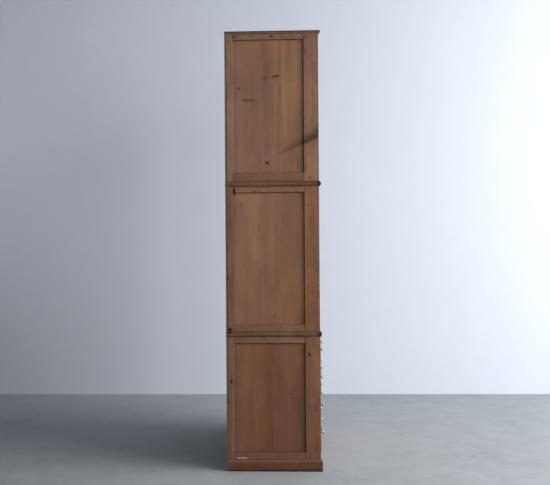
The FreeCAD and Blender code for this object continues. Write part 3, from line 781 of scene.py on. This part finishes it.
stained = softwood("stained_softwood")
unstained = softwood("unstained_softwood", gloss=0.62)
drawer_face = softwood("drawer_front_softwood", knobbed=True, arris_colour=DRAWER_WORN, bareness=0.52, gloss=0.48)
crown_wood = softwood("crown_softwood", arris_colour=SIDE_ARRIS_SHADE, tinted=CROWN_TINTS)
nosing_wood = softwood("nosing_softwood", chips=NOSING_CHIPS, arris_colour=SIDE_ARRIS_SHADE, contrast=1.5, dark_ends=True)
plinth_wood = softwood("plinth_softwood", contrast=1.6, tinted=PLINTH_HIGHLIGHT_AND_SHADE)
door_wood = softwood("door_softwood", grips=GRIPS, gloss=0.48)
sides = {
    "upper": softwood("upper_side_softwood", UPPER_MARKS, soot=True, arris_colour=SIDE_ARRIS_SHADE, contrast=0.82),
    "middle": softwood("middle_side_softwood", MIDDLE_MARKS, chips=MIDDLE_CHIPS, arris_colour=SIDE_ARRIS_SHADE, calm=0.45),
    "lower": softwood(
        "lower_side_softwood", LOWER_MARKS, LOWER_SCRAPES, seam=PANEL_SEAM, arris_colour=SIDE_ARRIS_SHADE, calm=0.45
    ),
}
glass = old_glass()
metal = dull_metal()
iron = rusty_iron()

for number, node in enumerate(sorted(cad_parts)):
    tier, _, kind = node.partition("_")
    if node.endswith("_glass"):
        cover(node, glass)
    elif node.endswith("_knob"):
        cover(node, metal)
    elif kind in ("stiles", "side_rails"):
        dress(node, number, side_tone(tier, kind))
        cover(node, sides[tier])
    elif kind == "side_panels":
        dress(
            node, number, side_tone(tier, kind), lip=PANEL_LIP, edge_shade_and_dirt=PANEL_SHADE_AND_DIRT,
            shade_off_low=PANEL_SHADE_OFF_LOW, shade_off_high=PANEL_SHADE_OFF_HIGH[tier],
        )
        cover(node, sides[tier])
    elif node.startswith("drawer_row"):
        board = dress(node, number, drawer_tone, drawer_boards)
        cover(node, drawer_face, unstained, which=board > 0)
    elif node == "plinth":
        dress(
            node, number, plain(PLINTH), strips(PLINTH_THICK, closed=True), edge_shade_and_dirt=PLINTH_FOOT_SHADE,
            shade_off_low=PLINTH_SHADE_OFF_LOW, shade_off_high=PLINTH_SHADE_OFF_HIGH,
        )
        cover(node, plinth_wood)
    elif kind == "nosing":
        dress(node, number, plain(NOSING), strips(NOSING_THICK), edge_shade_and_dirt=NOSING_CREVICE_SHADE)
        cover(node, nosing_wood)
    elif node == "crown_top":
        board = dress(node, number, plain(CROWN), strips(NOSING_THICK))
        cover(node, stained, crown_wood, which=board > 0)
    elif kind == "back_boards":
        dress(node, number, plain(BACK), edge_shade_and_dirt=BACK_DIRT)
        cover(node, unstained)
    elif node in ("shelves", "shelf_cleats", "drawer_runners") or kind == "bottom_board":
        dress(node, number, plain(INSIDE))
        cover(node, unstained)
    else:
        dress(node, number, plain(FRONT))
        cover(node, door_wood if node.endswith("_door_frame") else stained)


def nail_heads(name, places, radius, rise):
    """Low domes facing +Y. Over an angle and a radius share s from 0 to 1, a head is the circle of radius
    times s, lifted by rise times (1 - s squared), with one point at the tip; all heads are one array."""
    corners = 12
    shares = (1.0, 0.82, 0.45)
    turns = np.linspace(0, 2 * math.pi, corners, endpoint=False)
    share, turn = [grid.ravel() for grid in np.meshgrid(shares, turns, indexing="ij")]
    across, over = share * np.cos(turn) * radius, share * np.sin(turn) * radius
    head = np.stack([across, (1 - share ** 2) * rise, over], -1)
    head = np.vstack([head, [[0, rise, 0]]])
    points = (places[:, None, :] + head[None]).reshape(-1, 3)
    step = np.arange(corners)
    after = (step + 1) % corners
    band = np.stack([step, corners + step, corners + after, after], -1)
    quads = np.vstack([band + ring * corners for ring in range(len(shares) - 1)])
    inner, tip = (len(shares) - 1) * corners, len(shares) * corners
    caps = np.stack([inner + step, np.full(corners, tip), inner + after], -1)
    shift = np.arange(len(places))[:, None, None] * len(head)
    faces = [face for part in (quads, caps) for face in (part + shift).reshape(-1, part.shape[1]).tolist()]
    mesh = bpy.data.meshes.new(name)
    mesh.from_pydata(points.tolist(), [], faces)
    mesh.polygons.foreach_set("use_smooth", np.ones(len(mesh.polygons), bool))
    mesh.materials.append(iron)
    piece = bpy.data.objects.new(name, mesh)
    scene.collection.objects.link(piece)
    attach(piece, "case")


def back_nails():
    """Two nails through each back board at the top, the middle and the foot of every tier, a little astray
    and set in by less than their height."""
    boards, in_board, from_end, set_in, astray = 5, (0.14, 0.86), 0.012, 0.0004, 0.003
    luck = np.random.default_rng(11)
    rows = []
    for tier in TIERS:
        lowest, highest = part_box(f"{tier}_back_boards")
        pitch = (highest.x - lowest.x) / boards
        x = lowest.x + pitch * (np.arange(boards)[:, None] + np.array(in_board)[None]).ravel()
        for z in (lowest.z + from_end, (lowest.z + highest.z) / 2, highest.z - from_end):
            rows.append(np.stack([x, np.full(len(x), highest.y - set_in), np.full(len(x), z)], -1))
    places = np.vstack(rows)
    places[:, [0, 2]] += luck.uniform(-astray, astray, (len(places), 2))
    nail_heads("back_nails", places, radius=0.0032, rise=0.0009)


back_nails()


def stage_material(name, colour, mottle, rough, one_sided=False):
    """A plain pale surface with a faint mottle. One sided, it lets through what looks at it from behind."""
    material, start, output = new_material(name)
    place = start.place()
    patch = place.swing((1.3, 1.3, 1.3), 5.0, 0.62)
    daub = place.swing((8.0, 8.0, 8.0), 3.0, 0.6)
    grit = place.swing((30.0, 30.0, 30.0), 3.0, 0.6)
    light = 1 + patch * mottle + daub * mottle + grit * mottle * 0.6
    tint = grey(light).mixed((*colour, 1), 1.0, "MULTIPLY")
    sockets = {"Base Color": tint, "Roughness": rough, "Specular IOR Level": 0.2}
    shader = start.make("ShaderNodeBsdfPrincipled", None, sockets)
    if one_sided:
        clear = start.make("ShaderNodeBsdfTransparent")
        behind = start.make("ShaderNodeNewGeometry", None, None, "Backfacing")
        shader = start.make("ShaderNodeMixShader", None, {0: behind, 1: shader, 2: clear})
    start.tree.links.new(shader.socket, output.inputs["Surface"])
    return material


def stage_sheet(name, corners, material):
    """A flat four-cornered piece of the stage."""
    mesh = bpy.data.meshes.new(name)
    mesh.from_pydata(corners, [], [(0, 1, 2, 3)])
    mesh.materials.append(material)
    piece = bpy.data.objects.new(name, mesh)
    scene.collection.objects.link(piece)


# The floor reaches this far each way; the wall stands at this x and is this high.
REACH = 9
WALL = 1.478
WALL_HEIGHT = 6
stage_sheet(
    "floor",
    [(-REACH, -REACH, 0), (REACH, -REACH, 0), (REACH, REACH, 0), (-REACH, REACH, 0)],
    stage_material("pale_floor", (0.325, 0.352, 0.375), 0.32, 0.65),
)
stage_sheet(
    "backdrop",
    [(WALL, REACH, 0), (WALL, -REACH, 0), (WALL, -REACH, WALL_HEIGHT), (WALL, REACH, WALL_HEIGHT)],
    stage_material("pale_wall", (0.56, 0.6, 0.675), 0.04, 0.9, one_sided=True),
)


def soft_light(name, place, aim, width, height, power, colour, spread=180):
    """A flat panel of light at a place, turned to face a point, with its spread in degrees."""
    light = bpy.data.lights.new(name, "AREA")
    light.shape = "RECTANGLE"
    light.size = width
    light.size_y = height
    light.energy = power
    light.color = colour
    light.spread = math.radians(spread)
    lamp = bpy.data.objects.new(name, light)
    lamp.location = place
    lamp.rotation_euler = (Vector(aim) - Vector(place)).to_track_quat("-Z", "Y").to_euler()
    scene.collection.objects.link(lamp)


soft_light("window_light", (-1.5, -4.4, 1.9), (-0.2, 0.0, 1.0), 4.2, 2.6, 460, (1.0, 0.99, 0.97))
soft_light("room_light", (-4.3, -2.6, 1.7), (-0.45, 0.0, 0.9), 2.0, 1.8, 51, (0.98, 0.985, 1.0))
soft_light("wall_light", (0.2, 3.3, 2.4), (WALL, 1.6, 1.1), 1.0, 1.0, 2.0, (0.95, 0.97, 1.0), spread=50)

world = bpy.data.worlds.new("soft_room")
world.use_nodes = True
ambient = world.node_tree.nodes["Background"].inputs
ambient["Color"].default_value = (0.94, 0.96, 1.0, 1)
ambient["Strength"].default_value = 0.13
scene.world = world


def photo_camera(place, yaw, pitch, roll, focal, wide, sensor=36):
    """The camera by its place, yaw from +X towards +Y, pitch and roll in degrees, and its focal length and
    picture width in pixels, on a sensor of so many mm."""
    yaw, pitch, roll = np.radians((yaw, pitch, roll))
    ahead = np.array([math.cos(pitch) * math.cos(yaw), math.cos(pitch) * math.sin(yaw), math.sin(pitch)])
    level = np.array([math.sin(yaw), -math.cos(yaw), 0.0])
    above = np.cross(level, ahead)
    right = math.cos(roll) * level + math.sin(roll) * above
    up = math.cos(roll) * above - math.sin(roll) * level
    data = bpy.data.cameras.new("photo_camera")
    data.sensor_fit = "HORIZONTAL"
    data.sensor_width = sensor
    data.lens = focal * sensor / wide
    camera = bpy.data.objects.new("photo_camera", data)
    scene.collection.objects.link(camera)
    turn = Matrix(np.stack([right, up, -ahead], 1).tolist()).to_4x4()
    camera.matrix_world = Matrix.Translation(place) @ turn
    scene.camera = camera


photo_camera((-4.0998, -0.152, 0.9223), yaw=2.34, pitch=0.391, roll=-0.396, focal=880.1, wide=550)
scene.view_settings.view_transform = "Standard"
